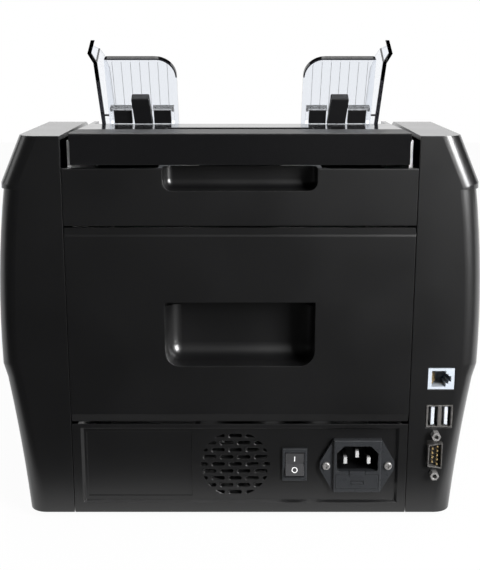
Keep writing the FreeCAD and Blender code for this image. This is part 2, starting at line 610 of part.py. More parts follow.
node("serial_pins", group(*contacts))
studs = []
for side in (-1, 1):
    z = serial_z + side * d.serial_screw_half
    nut = doc.addObject("Part::Prism", "hex_nut")
    nut.Polygon = 6
    bind(nut, "Circumradius", 2.75)
    bind(nut, "Height", d.port_reach)
    nut.Placement = FreeCAD.Placement(FreeCAD.Vector(), FreeCAD.Rotation(FreeCAD.Vector(1, 0, 0), -90))
    place(nut, sp, rear, z)
    stem = rod("y", 1.5, inner_wall - 6, rear + 1, sp, z)
    studs.append(cut(fuse(nut, stem), rod("y", 1.3, rear + 1.5, rear + d.port_reach + 1, sp, z)))
node("serial_standoffs", group(*studs))

# Boards and supply inside.
by = skin - 35
bracket = box(-frame_inner, frame_inner, by - 1.5, by, low_top + 5, up_low - 8)
window = box(-60, 60, by - 3, by + 1, low_top + 25, up_low - 28)
posts = [rod("y", 3, by, by + 4, x, z) for x in (-78, 78) for z in (low_top + 14, up_low - 16)]
node("board_bracket", fuse(cut(bracket, window), *posts))
chips = [box(-50, -26, by + 5.6, by + 8, low_top + 26, low_top + 50),
         box(0, 18, by + 5.6, by + 7.6, low_top + 58, low_top + 76),
         box(40, 70, by + 5.6, by + 10, low_top + 28, low_top + 36),
         box(-70, -40, by + 5.6, by + 12, low_top + 78, low_top + 86)]
node("main_board", fuse(box(-84, 84, by + 4, by + 5.6, low_top + 10, up_low - 12), *chips))
supply = box(28, 90, seat - 97.5, seat - 9.5, tray, tray + 42)
node("power_supply", soften(supply, 2, lambda e: runs_along(e, "z")))

# Note path: pickup, feed, transport and stacking shafts with one drive belt.
belt_out = d.belt_in + d.belt_width
for label, spot, pulley in (("pickup_shaft", pickup, d.pickup_pulley), ("feed_shaft", feed, d.feed_pulley),
                            ("stacker_shaft", stack, d.stack_pulley)):
    bar = rod("x", d.shaft_radius, -d.frame_outer - 2, belt_out + 3, *spot)
    node(label, fuse(bar, rod("x", pulley, d.belt_in, belt_out, *spot)))
bar = rod("x", d.shaft_radius, -d.frame_outer - 2, belt_out + 3, *carry)
bands = [rod("x", d.carry_radius, a, b, *carry) for a, b in ((-76, -52), (-24, 24), (52, 76))]
node("transport_roller", fuse(bar, rod("x", d.carry_pulley, d.belt_in, belt_out, *carry), *bands))


def rollers(label, spot, radius, spans):
    rings = [cut(rod("x", radius, a, b, *spot), rod("x", d.shaft_radius, size(a) - 1, size(b) + 1, *spot))
             for a, b in spans]
    return node(label, group(*rings))


PICKUP_SPANS = ((-42, -26), (26, 42))
FEED_SPANS = ((-50, -34), (34, 50), (-14, 14))
rollers("pickup_rollers", pickup, d.pickup_radius, PICKUP_SPANS)
rollers("feed_rollers", feed, d.feed_radius, FEED_SPANS)
retard = path_point(-d.retard_radius - 0.8, -d.feed_down)
hub = rod("x", 3.5, -frame_inner, frame_inner, *retard)
node("separation_roller", fuse(hub, rod("x", d.retard_radius, -14, 14, *retard)))

wheels = []
for x in (-62, -24, 24, 62):
    wheel = doc.addObject("PartDesign::Body", "stacker_wheel")
    sketch = wheel.newObject("Sketcher::SketchObject", "hub_profile")
    sketch.AttachmentSupport = [(wheel.Origin.OriginFeatures[5], "")]
    sketch.MapMode = "FlatFace"
    for radius in (d.stack_radius * 0.4, d.shaft_radius):
        ring_at = sketch.addGeometry(Part.Circle(FreeCAD.Vector(), FreeCAD.Vector(0, 0, 1), radius.v))
        sketch.addConstraint(Sketcher.Constraint("Coincident", ring_at, 3, -1, 1))
        at = sketch.addConstraint(Sketcher.Constraint("Radius", ring_at, radius.v))
        sketch.setExpression("Constraints[%d]" % at, radius.text)
    hub = wheel.newObject("PartDesign::Pad", "hub")
    hub.Profile = sketch
    hub.Length = 6
    blade = wheel.newObject("Sketcher::SketchObject", "blade_profile")
    blade.AttachmentSupport = [(wheel.Origin.OriginFeatures[5], "")]
    blade.MapMode = "FlatFace"
    reach = d.stack_radius
    spots = [(reach * 0.3, size(0.0)), (reach * 0.66, reach * 0.2), (reach * 0.72, reach * 0.66),
             (reach * 0.66, reach * 0.69), (reach * 0.58, reach * 0.25), (reach * 0.28, reach * 0.1)]
    for i, (a, b) in enumerate(spots):
        c, e = spots[(i + 1) % len(spots)]
        blade.addGeometry(Part.LineSegment(FreeCAD.Vector(a.v, b.v, 0), FreeCAD.Vector(c.v, e.v, 0)))
    for i, (a, b) in enumerate(spots):
        blade.addConstraint(Sketcher.Constraint("Coincident", i, 2, (i + 1) % len(spots), 1))
        for kind, value in (("DistanceX", a), ("DistanceY", b)):
            at = blade.addConstraint(Sketcher.Constraint(kind, -1, 1, i, 1, value.v))
            blade.setExpression("Constraints[%d]" % at, value.text)
    fin = wheel.newObject("PartDesign::Pad", "blade")
    fin.Profile = blade
    fin.Length = 6
    fan = wheel.newObject("PartDesign::PolarPattern", "blades")
    fan.Originals = [fin]
    fan.Axis = (blade, ["N_Axis"])
    fan.Angle = 360
    fan.Occurrences = 10
    wheel.Tip = fan
    wheels.append(place(wheel, x - 3, *stack))
node("stacker_wheels", group(*wheels))

can = soften(rod("x", d.motor_radius, frame_inner - 52, frame_inner, *motor), 2,
             lambda e: near(middle(e).x, frame_inner - 52))
node("drive_motor", cut(can, rod("x", 2.5 + d.run, frame_inner - 12, frame_inner + 1, *motor)))
node("motor_pulley", fuse(rod("x", 2.5, frame_inner - 11, belt_out + 2, *motor),
                          rod("x", d.motor_pulley, d.belt_in, belt_out, *motor)))


def loop_wire(circles):
    """Closed tangent loop round circles given in turning order as (y, z, radius)."""
    points = []
    for (y0, z0, r0), (y1, z1, r1) in zip(circles, circles[1:] + circles[:1]):
        heading = math.atan2(z1 - z0, y1 - y0)
        span = math.hypot(y1 - y0, z1 - z0)
        swing = heading - math.pi / 2 - math.asin((r1 - r0) / span)
        aim = (math.cos(swing), math.sin(swing))
        points.append(((y0 + r0 * aim[0], z0 + r0 * aim[1]), (y1 + r1 * aim[0], z1 + r1 * aim[1])))
    edges = []
    for i, (leave, arrive) in enumerate(points):
        nxt = points[(i + 1) % len(points)][0]
        cy, cz, r = circles[(i + 1) % len(circles)]
        a0 = math.atan2(arrive[1] - cz, arrive[0] - cy)
        a1 = math.atan2(nxt[1] - cz, nxt[0] - cy)
        while a1 < a0:
            a1 += 2 * math.pi
        mid = (cy + r * math.cos((a0 + a1) / 2), cz + r * math.sin((a0 + a1) / 2))
        at = [FreeCAD.Vector(d.belt_in.v + 0.5, *p) for p in (leave, arrive, mid, nxt)]
        edges.append(Part.makeLine(at[0], at[1]))
        edges.append(Part.Arc(at[1], at[2], at[3]).toShape())
    return Part.Wire(edges)


def belt_ring(grow):
    train = [(stack, d.stack_pulley), (motor, d.motor_pulley), (pickup, d.pickup_pulley),
             (feed, d.feed_pulley), (carry, d.carry_pulley)]
    circles = [(spot[0].v, spot[1].v, radius.v + grow) for spot, radius in train]
    return Part.Face(loop_wire(circles))


band = belt_ring(d.belt_gap.v + d.belt_thick.v).cut(belt_ring(d.belt_gap.v))
belt = doc.addObject("Part::Feature", "belt_band")
belt.Shape = band.extrude(FreeCAD.Vector(d.belt_width.v - 1, 0, 0))
node("drive_belt", belt)

# Fixed path pieces, drawn along the path: across is -y of the path, along is z.
plate = box(-92, 92, 0.8, 3.5, -80, -41)
wings = [box(*mirrored(s, 91, frame_inner), 0.8, 3.5, -80, -64) for s in (-1, 1)]
windows = [box(a - 2, b + 2, 0, 5, -d.pickup_down - 12, -d.pickup_down + 12) for a, b in PICKUP_SPANS]
windows += [box(a - 2, b + 2, 0, 5, -81, -70) for a, b in FEED_SPANS]
node("feed_plate", tilt(cut(fuse(plate, *wings), *windows)))
floor = box(-92, 92, -d.face_gap, -1.5, -d.floor_down - 3, -d.floor_down)
node("hopper_floor", tilt(cut(floor, box(-16, 16, -20, -1, -d.floor_down - 4, -d.floor_down - 1.6))))
front_bar = tilt(box(-frame_inner, frame_inner, -18, -1.2, -132, -98))
rear_bar = tilt(box(-frame_inner, frame_inner, 1.2, 18, -131, -104))
node("sensor_bars", group(front_bar, rear_bar))

# Operator panel with display and five keys.
KEYS = {"key_menu": (38, -96, 11, 6), "key_mode": (69, -96, 11, 6), "key_add": (38, -114, 11, 6),
        "key_clear": (69, -114, 11, 6), "key_start": (53.5, -136, 26.5, 8)}
g = d.face_gap
panel = soften(box(-panel_half, panel_half, -g - 3, -g, -d.face_bottom, -d.face_top), 1.5,
               lambda e: runs_along(e, "x") and near(middle(e).y, -g - 3))
screen = box(-84, 10, -g - 5, -g + 1, -146, -88)
holes = [box(x - w - d.key_gap, x + w + d.key_gap, -g - 5, -g + 1, z - h - d.key_gap, z + h + d.key_gap)
         for x, z, w, h in KEYS.values()]
posts = [rod("y", 3, -g, -g + 8, x, z) for x in (-90, 90) for z in (-154, -80)]
node("front_panel", tilt(fuse(cut(panel, screen, *holes), *posts)))
node("display_lens", tilt(box(-83.6, 9.6, -g - 2.4, -g + 1, -145.6, -88.4)))
module = box(-86, 12, -g + 1, -g + 8, -148, -86)
node("control_board", tilt(fuse(box(-93.5, 93.5, -g + 8, -g + 9.6, -158, -76), module)))
for label, (x, z, w, h) in KEYS.items():
    cap = soften(box(x - w, x + w, -g - 3 - d.key_proud, -g + 0.5, z - h, z + h), 1.2,
                 lambda e: near(middle(e).y, -g - 3 - d.key_proud) or runs_along(e, "y"))
    rim = box(x - w - 1.5, x + w + 1.5, -g + 0.4, -g + 2, z - h - 1.5, z + h + 1.5)
    node(label, tilt(fuse(cap, rim, box(x - 3, x + 3, -g + 1.5, -g + 6, z - 3, z + 3))))

# Stacker pocket under the operator panel.
lip = soften(box(-panel_half, panel_half, front + 0.5, front + 4, tray, 36), 1.2,
             lambda e: runs_along(e, "x") and near(middle(e).z, 36))
rest_y = stack[0] - 17
floor = box(-94, 94, front + 3, rest_y, 15, 18)
rest = box(-94, 94, rest_y - 3, rest_y, 15, 92)
flank = [(rest_y, 15), (front + 3, 15), (front + 3, 44), (front + 21.5, 96), (rest_y, 96)]
cheeks = [prism("pocket_flank", "YZ", flank, *mirrored(s, 91, 94)) for s in (-1, 1)]
side_end = frame_front - 1.5
brow = [(side_end, 15), (front + 3, 15), (front + 3, 44), (front + 21.5, 96), (side_end, 96)]
cheeks += [prism("pocket_side", "YZ", brow, *mirrored(s, 93, panel_half)) for s in (-1, 1)]
legs = [box(-90, 90, y, y + 3, tray, 16) for y in (front + 27.5, rest_y - 13)]
gaps = [box(x - 5, x + 5, rest_y - 23, rest_y + 7, 18, 85) for x in (-62, -24, 24, 62)]
node("stacker_pocket", cut(fuse(lip, floor, rest, *cheeks, *legs), *gaps))

# Hopper cover: top panel, rear flap, sloping back wall and hinged cheeks.
rim = top + d.cover_rise
slab = [(path_y + 1.5, cover_under), (rear, cover_under), (rear, rim), (path_y + 1.5, top)]
lid = soften(prism("cover_top", "YZ", slab, -d.cover_half, d.cover_half), 1.2,
             lambda e: runs_along(e, "x") and near(middle(e).y, rear) and near(middle(e).z, rim))
strips = [box(*mirrored(s, d.cheek_inner, d.cover_half), rear - 105, path_y + 2, cover_under, top)
          for s in (-1, 1)]
flap = box(-d.flap_half, d.flap_half, skin, rear, top - d.flap_height, cover_under)
wall = tilt(box(-d.cheek_inner - 0.5, d.cheek_inner + 0.5, 0.8, 3.5, -40, -1.2))
cheeks = []
for side in (-1, 1):
    x0, x1 = mirrored(side, d.cheek_inner, d.flap_half)
    outline = [(path_y + 43.5, cover_under), (rear - 105, cover_under), (hinge[0] - 9, hinge[1] + 10),
               (hinge[0] - 9, hinge[1] - 7), (hinge[0] + 8, hinge[1] - 7), (path_y - 11.5, hinge[1] + 8),
               (path_y + 43.5, cover_under - 7)]
    cheeks.append(prism("cheek", "YZ", outline, x0, x1))
recess = rear - d.recess_in
carve = [box(-d.notch_half, d.notch_half, recess - d.recess_width, recess, rim - 2.2, rim + 1)]
carve += [rod("x", d.pin_radius + d.run, *mirrored(s, d.cheek_inner - 1, d.flap_half + 1), *hinge)
          for s in (-1, 1)]
rack_low = top - d.rack_level - 7
carve += [box(*mirrored(s, 26, 69), path_y - 20, path_y + 12, rack_low - 0.6, rack_low + 5.6)
          for s in (-1, 1)]
pinion_y = path_y + 27
post = rod("z", 2.5, top - d.rack_level - 2, cover_under, 0, pinion_y)
node("hopper_cover", cut(fuse(lid, flap, wall, *strips, *cheeks, post), *carve))

# Note guides, their black fingers and the racks and pinion that keep them centred.
rack_z = top - d.rack_level
pitch = math.pi * d.rack_pitch.v * 2 / 16


gear_points = []
for k in range(16):
    centre = 2 * math.pi * k / 16 + math.pi / 2
    for radius, half in ((-1.2, -0.95), (0.75, -0.36), (0.75, 0.36), (-1.2, 0.95)):
        gear_points.append((radius, centre + half / (d.rack_pitch.v + radius)))
wheel = prism("pinion_teeth", "XY",
              [((d.rack_pitch + r) * math.cos(a), (d.rack_pitch + r) * math.sin(a)) for r, a in gear_points],
              0, d.rack_thick)
place(wheel, 0, pinion_y, rack_z)
node("guide_pinion", cut(wheel, rod("z", 2.5 + d.run, rack_z - 1, rack_z + d.rack_thick + 1, 0, pinion_y)))

for word, side in (("left", -1), ("right", 1)):
    turn = 1 if side > 0 else -1
    face_y = pinion_y - turn * d.rack_pitch
    y0, y1 = (face_y - 6, face_y - 1) if turn > 0 else (face_y + 1, face_y + 6)
    x0, x1 = mirrored(side, -12, 66)
    bar = box(x0, x1, y0, y1, rack_z, rack_z + d.rack_thick)
    a0, a1 = mirrored(side, 56, 66)
    arm = box(a0, a1, path_y + 8, y1, rack_low, rack_low + 5)
    riser = box(a0, a1, y0, y1, rack_low + 4, rack_z + 1)
    teeth = []
    for k in range(-4, 12):
        x = (k + 0.5) * pitch * side
        root = face_y - turn * 1.2
        tip = face_y + turn * 0.75
        corners = [(x - 0.95, root), (x + 0.95, root), (x + 0.36, tip), (x - 0.36, tip)]
        teeth.append(prism("rack_tooth", "XY", corners, rack_z, rack_z + d.rack_thick))
    node(word + "_guide_rack", fuse(bar, arm, riser, *teeth))

    x0, x1 = mirrored(side, d.guide_inner, d.guide_outer)
    inner_x = d.guide_inner.v * side
    plate = box(x0, x1, -d.guide_thick, 0, -d.guide_down, d.guide_up)
    plate = soften(plate, 13, lambda e: runs_along(e, "y") and near(middle(e).z, d.guide_up)
                   and abs(middle(e).x - inner_x) < 0.1)
    plate = soften(plate, 2, lambda e: runs_along(e, "y") and near(middle(e).z, d.guide_up)
                   and abs(middle(e).x) > d.guide_outer.v - 0.1)
    side_points = [(0, -d.guide_down), (0, d.guide_side_up), (-31, d.guide_side_up - 26.5), (-46, 15),
                   (-46, -22), (-33, -d.guide_down)]
    outline = prism("guide_flank", "YZ", side_points, *mirrored(side, d.guide_side - 20, d.guide_side + 20))
    bend = [(d.guide_side - d.guide_foot_in, -d.guide_down), (d.guide_side, d.guide_side_up - 15.5),
            (d.guide_side + d.guide_bow, d.guide_side_up - 9), (d.guide_side, d.guide_side_up)]
    bend += [(x + d.guide_wall, z) for x, z in reversed(bend)]
    flank = overlap(prism("guide_bend", "XZ", [(x * side, z) for x, z in bend], -46, 0), outline)
    bridge = box(*mirrored(side, d.guide_outer - 0.5, d.guide_side - d.guide_foot_in + 1), -d.guide_thick, 0,
                 -d.guide_down, -14)
    ribs = [box(*mirrored(side, 44.5 + 5.6 * k, 44.9 + 5.6 * k), -d.guide_thick - 0.3, -d.guide_thick + 0.3,
                -d.guide_down + 4, d.guide_up - 2.5) for k in range(7)]
    sockets = []
    for low, high, edge in ((67.6, 81.3, 80.6), (41.4, 54.6, 42.1)):
        sockets.append(box(*mirrored(side, low, high), -0.5, d.finger_depth + 0.6,
                           d.finger_short + 0.3, d.finger_short + 1.5))
        sockets.append(box(*mirrored(side, edge - 0.7, edge + 0.7), -0.5, d.finger_depth,
                           3, d.finger_short + 1.4))
    leaf = tilt(fuse(plate, flank, bridge, *ribs, *sockets))
    lug = box(a0, a1, path_y - 11.5, path_y + 8, rack_low, rack_low + 5)
    behind = tilt(box(-100, 100, -20, -d.guide_thick, -60, 60))
    node(word + "_note_guide", fuse(leaf, cut(lug, behind)))

    blocks = []
    for low, high, depth, height in ((68.1, 79.2, d.finger_depth, d.finger_short),
                                     (43.5, 54.1, d.finger_depth, d.finger_short),
                                     (56.6, 67.5, size(6), d.finger_tall)):
        slant = 0.08 * (height - d.finger_short)
        profile = [(low - slant * 3, size(-10)), (high - slant * 3, size(-10)), (size(high), height),
                   (size(low), height)]
        block = prism("finger", "XZ", [(x * side, z) for x, z in profile], 0, depth)
        blocks.append(soften(block, 0.8, lambda e: middle(e).z > height.v - 0.5 and middle(e).y > 1))
    bracket = tilt(group(*blocks))
    node(word + "_guide_fingers", cut(bracket, box(-120, 120, path_y - 40, rear, top - 40, top + d.fit + 0.1)))

doc.recompute()
for obj in doc.Objects:
    if "Invalid" in obj.State or "Error" in obj.State:
        raise RuntimeError("%s does not compute" % obj.Label)
os.makedirs("parts", exist_ok=True)
for obj in NODES:
    if obj.Shape.isNull() or not obj.Shape.isValid():
        raise RuntimeError("%s has no valid shape" % obj.Label)
    obj.Shape.exportStep("parts/%s.step" % obj.Label)
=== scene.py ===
import math

import bpy
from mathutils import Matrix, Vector


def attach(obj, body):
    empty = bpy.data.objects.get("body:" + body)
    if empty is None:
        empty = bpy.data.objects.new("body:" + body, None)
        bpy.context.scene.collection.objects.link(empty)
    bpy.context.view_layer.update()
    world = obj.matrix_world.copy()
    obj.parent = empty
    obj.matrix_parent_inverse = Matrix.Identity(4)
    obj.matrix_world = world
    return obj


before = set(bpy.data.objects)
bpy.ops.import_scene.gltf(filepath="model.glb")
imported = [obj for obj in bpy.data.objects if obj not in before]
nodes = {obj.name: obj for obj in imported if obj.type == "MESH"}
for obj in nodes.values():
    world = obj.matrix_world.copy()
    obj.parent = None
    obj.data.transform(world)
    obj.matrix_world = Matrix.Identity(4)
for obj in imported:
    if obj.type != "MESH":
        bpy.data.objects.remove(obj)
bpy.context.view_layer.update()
scene = bpy.context.scene
scene.view_settings.view_transform = "Standard"
MM = 0.001


# Places that finishes and pieces share. +Y is the machine's rear, +Z is up.

def rear_end(name):
    """How far to the rear a CAD node reaches."""
    return max(corner[1] for corner in nodes[name].bound_box)


CASE_TOP, CASE_REAR = 232 * MM, 122.5 * MM
BAY_FACE = 120.5 * MM
BOARD_FACE = 90.1 * MM
INLET_FACE = rear_end("mains_inlet")
PIN_TIP = rear_end("inlet_pins")
COVER_SATIN_FROM, COVER_SATIN_TO, COVER_SATIN_BLEND = 88.6 * MM, 121.6 * MM, 1.0 * MM

# The clear guides' sheet, given along the sloping note path: "along" runs up the slope, "across"
# stands off it to the rear and "out" is the distance from the machine's middle.
LEAN, PATH_Y = math.radians(28), 36.5 * MM
SHEET_UP, SHEET_IN, SHEET_OUT, SHEET_CORNER = 46.2 * MM, 38.9 * MM, 83 * MM, 13 * MM
FLANK_OUT, FLANK_EDGE_ACROSS = SHEET_OUT + 0.7 * MM, -1.2 * MM
TOP_EDGE_WIDTH, CORNER_EDGE_WIDTH = 1.0 * MM, 0.9 * MM
# The caps over the short fingers; the last number is how far they are coloured dark, as painted
# shade.
CAP_ACROSS, CAP_ALONG, CAP_OUT, CAP_PAINTED_SHADE = 0.1 * MM, 11.5 * MM, SHEET_OUT - 1.0 * MM, 0.965


# Node helpers. Every finish reads Object coordinates, so that its pattern keeps its real size.

def new_finish(name):
    material = bpy.data.materials.new(name)
    material.use_nodes = True
    tree = material.node_tree
    shader = tree.nodes["Principled BSDF"]
    place = tree.nodes.new("ShaderNodeTexCoord").outputs["Object"]
    return material, tree, shader, place


def reckon(tree, operation, first, second=0.0):
    """A Math node fed with sockets or plain numbers."""
    node = tree.nodes.new("ShaderNodeMath")
    node.operation = operation
    for port, value in zip(node.inputs, (first, second)):
        if isinstance(value, (int, float)):
            port.default_value = value
        else:
            tree.links.new(value, port)
    return node.outputs[0]


def all_of(tree, *tests):
    """1 where every test is 1, else 0."""
    result = tests[0]
    for test in tests[1:]:
        result = reckon(tree, "MULTIPLY", result, test)
    return result


def axes(tree, place):
    """The coordinates of a place, as sockets named X, Y and Z."""
    split = tree.nodes.new("ShaderNodeSeparateXYZ")
    tree.links.new(place, split.inputs["Vector"])
    return split.outputs


def speckle(tree, place, scale, detail, stretch=None):
    """Noise of the given scale per metre, drawn out along an axis where stretch says so."""
    if stretch:
        mapping = tree.nodes.new("ShaderNodeMapping")
        mapping.inputs["Scale"].default_value = stretch
        tree.links.new(place, mapping.inputs["Vector"])
        place = mapping.outputs["Vector"]
    noise = tree.nodes.new("ShaderNodeTexNoise")
    noise.inputs["Scale"].default_value = scale
    noise.inputs["Detail"].default_value = detail
    tree.links.new(place, noise.inputs["Vector"])
    return noise.outputs["Fac"]


def spread(tree, value, low, high, start=0.3, end=0.7):
    """The value from start to end, remapped to a number from low to high."""
    remap = tree.nodes.new("ShaderNodeMapRange")
    limits = (("From Min", start), ("From Max", end), ("To Min", low), ("To Max", high))
    for name, number in limits:
        remap.inputs[name].default_value = number
    tree.links.new(value, remap.inputs["Value"])
    return remap.outputs["Result"]


def shade(tree, value, dark, light, start=0.35, end=0.65):
    """The value from start to end, turned into a colour from dark to light."""
    ramp = tree.nodes.new("ShaderNodeValToRGB")
    ramp.color_ramp.elements[0].position = start
    ramp.color_ramp.elements[0].color = (*dark, 1)
    ramp.color_ramp.elements[1].position = end
    ramp.color_ramp.elements[1].color = (*light, 1)
    tree.links.new(value, ramp.inputs["Fac"])
    return ramp.outputs["Color"]


def relief(tree, shader, height, strength, depth, edge=0.0):
    """Bump from a height; edge rounds sharp corners in the shading by that radius."""
    bump = tree.nodes.new("ShaderNodeBump")
    bump.inputs["Strength"].default_value = strength
    bump.inputs["Distance"].default_value = depth
    tree.links.new(height, bump.inputs["Height"])
    if edge:
        soft = tree.nodes.new("ShaderNodeBevel")
        soft.samples = 4
        soft.inputs["Radius"].default_value = edge
        tree.links.new(soft.outputs["Normal"], bump.inputs["Normal"])
    tree.links.new(bump.outputs["Normal"], shader.inputs["Normal"])


def patchy_tone(tree, place):
    return speckle(tree, place, scale=9.0, detail=3.0)


def patchy_sheen(tree, place):
    return speckle(tree, place, scale=26.0, detail=4.0)


def fine_grain(tree, place, size):
    return speckle(tree, place, scale=1.0 / size, detail=1.0)


# Kinds of finish. rough is the lowest and highest roughness, grain the size and depth of the
# moulded grain, and coat the weight and roughness of a clear coat.

def moulded(name, dark, light, rough, grain, edge=0.0, gloss=0.5, coat=None):
    """Moulded plastic: uneven tone, patchy sheen and a fine spark-eroded grain."""
    material, tree, shader, place = new_finish(name)
    colour = shade(tree, patchy_tone(tree, place), dark, light)
    tree.links.new(colour, shader.inputs["Base Color"])
    sheen = spread(tree, patchy_sheen(tree, place), *rough)
    tree.links.new(sheen, shader.inputs["Roughness"])
    shader.inputs["Specular IOR Level"].default_value = gloss
    if coat:
        shader.inputs["Coat Weight"].default_value = coat[0]
        shader.inputs["Coat Roughness"].default_value = coat[1]
    grain_size, grain_depth = grain
    height = fine_grain(tree, place, grain_size)
    relief(tree, shader, height, strength=0.5, depth=grain_depth, edge=edge)
    return material


def part_gloss(name, dark, light, rough_gloss, rough_satin, grain, edge, gloss):
    """Polished moulded plastic, with the satin band that lies across the cover."""
    material, tree, shader, place = new_finish(name)
    colour = shade(tree, patchy_tone(tree, place), dark, light)
    tree.links.new(colour, shader.inputs["Base Color"])
    to_rear = axes(tree, place)["Y"]
    band_start = spread(tree, to_rear, rough_gloss, rough_satin,
                        COVER_SATIN_FROM, COVER_SATIN_FROM + COVER_SATIN_BLEND)
    band_end = spread(tree, to_rear, rough_satin, rough_gloss,
                      COVER_SATIN_TO - COVER_SATIN_BLEND, COVER_SATIN_TO)
    band = reckon(tree, "MINIMUM", band_start, band_end)
    sheen = spread(tree, patchy_sheen(tree, place), 0.0, 0.05)
    tree.links.new(reckon(tree, "ADD", band, sheen), shader.inputs["Roughness"])
    shader.inputs["Specular IOR Level"].default_value = gloss
    grain_size, grain_depth = grain
    height = fine_grain(tree, place, grain_size)
    relief(tree, shader, height, strength=0.5, depth=grain_depth, edge=edge)
    return material


def metal(name, dark, light, rough, stretch, metallic=1.0, edge=0.25 * MM):
    """Plated or drawn metal with fine marks along its rolling direction."""
    material, tree, shader, place = new_finish(name)
    marks = speckle(tree, place, scale=400.0, detail=3.0, stretch=stretch)
    tree.links.new(shade(tree, marks, dark, light), shader.inputs["Base Color"])
    tree.links.new(spread(tree, marks, *rough), shader.inputs["Roughness"])
    shader.inputs["Metallic"].default_value = metallic
    relief(tree, shader, marks, strength=0.25, depth=0.03 * MM, edge=edge)
    return material


def socket_with_painted_depth_shade(name, face, throat, rough, face_until, throat_from):
    """A fitting with painted shade: its colour darkens with depth, from its rear face down into its
    throat.
    """
    material, tree, shader, place = new_finish(name)
    nearness = spread(tree, axes(tree, place)["Y"], 0.0, 1.0, throat_from, face_until)
    colour = shade(tree, nearness, throat, face, 0.0, 1.0)
    tree.links.new(colour, shader.inputs["Base Color"])
    sheen = speckle(tree, place, scale=300.0, detail=3.0)
    tree.links.new(spread(tree, sheen, *rough), shader.inputs["Roughness"])
    relief(tree, shader, sheen, strength=0.3, depth=0.02 * MM, edge=0.25 * MM)
    return material


def populated_board(name, dark, light, track, package, rough):
    """Solder mask with faint tracks on the board, and dark packages on what stands off its face."""
    light_at, track_at, package_at = 0.3, 0.5, 0.9
    material, tree, shader, place = new_finish(name)
    tone = spread(tree, patchy_tone(tree, place), 0.0, light_at)
    lines = speckle(tree, place, scale=620.0, detail=0.0, stretch=(0.07, 1, 1))
    tracks = spread(tree, lines, 0.0, track_at, 0.58, 0.62)
    stands_off = spread(tree, axes(tree, place)["Y"], 0.0, 1.0,
                        BOARD_FACE + 0.1 * MM, BOARD_FACE + 0.2 * MM)
    level = reckon(tree, "MAXIMUM", reckon(tree, "MAXIMUM", tone, tracks), stands_off)
    ramp = tree.nodes.new("ShaderNodeValToRGB")
    ramp.color_ramp.elements[0].color = (*dark, 1)
    ramp.color_ramp.elements[1].color = (*package, 1)
    for position, colour in ((light_at, light), (track_at, track), (package_at, package)):
        ramp.color_ramp.elements.new(position).color = (*colour, 1)
    tree.links.new(level, ramp.inputs["Fac"])
    tree.links.new(ramp.outputs["Color"], shader.inputs["Base Color"])
    tree.links.new(spread(tree, tone, *rough, 0.0, light_at), shader.inputs["Roughness"])
    relief(tree, shader, tracks, strength=0.4, depth=0.04 * MM, edge=0.2 * MM)
    return material


def clear_sheet(name, tint, painted_shade_colour, haze, bend):
    """Clear tinted acrylic, with painted shade: its cut edges are coloured dark where they reflect
    the black case, and the caps over the short fingers are coloured dark too.
    """
    material, tree, shader, place = new_finish(name)
    onto_path = tree.nodes.new("ShaderNodeMapping")
    onto_path.inputs["Rotation"].default_value = (LEAN, 0, 0)
    onto_path.inputs["Location"].default_value = (
        0, CASE_TOP * math.sin(LEAN) - PATH_Y * math.cos(LEAN),
        -CASE_TOP * math.cos(LEAN) - PATH_Y * math.sin(LEAN))
    tree.links.new(place, onto_path.inputs["Vector"])
    spot = axes(tree, onto_path.outputs["Vector"])
    out, across, along = reckon(tree, "ABSOLUTE", spot["X"]), spot["Y"], spot["Z"]

    def above(value, limit):
        return reckon(tree, "GREATER_THAN", value, limit)

    def below(value, limit):
        return reckon(tree, "LESS_THAN", value, limit)

    def square(value):
        return reckon(tree, "MULTIPLY", value, value)

    flank_edge = all_of(tree, above(out, FLANK_OUT), above(across, FLANK_EDGE_ACROSS))
    top_edge = all_of(tree, below(out, FLANK_OUT), above(along, SHEET_UP - TOP_EDGE_WIDTH))
    corner_x = reckon(tree, "SUBTRACT", out, SHEET_IN + SHEET_CORNER)
    corner_z = reckon(tree, "SUBTRACT", along, SHEET_UP - SHEET_CORNER)
    reach = reckon(tree, "SQRT", reckon(tree, "ADD", square(corner_x), square(corner_z)))
    corner_edge = all_of(tree, below(corner_x, 0.0), above(corner_z, 0.0),
                         above(reach, SHEET_CORNER - CORNER_EDGE_WIDTH))
    cap = all_of(tree, above(across, CAP_ACROSS), above(along, CAP_ALONG), below(out, CAP_OUT))
    cap = reckon(tree, "MULTIPLY", cap, CAP_PAINTED_SHADE)
    # Painted shade: where the cut edges and the caps lie, the sheet is coloured dark.
    painted_shade_mask = reckon(tree, "MAXIMUM", reckon(tree, "MAXIMUM", flank_edge, top_edge),
                    reckon(tree, "MAXIMUM", corner_edge, cap))
    tree.links.new(shade(tree, painted_shade_mask, tint, painted_shade_colour, 0.0, 1.0), shader.inputs["Base Color"])
    hazy = speckle(tree, place, scale=220.0, detail=3.0)
    tree.links.new(spread(tree, hazy, haze * 0.5, haze), shader.inputs["Roughness"])
    shader.inputs["Transmission Weight"].default_value = 1.0
    shader.inputs["IOR"].default_value = bend
    waves = speckle(tree, place, scale=30.0, detail=2.0)
    relief(tree, shader, waves, strength=0.05, depth=0.05 * MM)
    return material


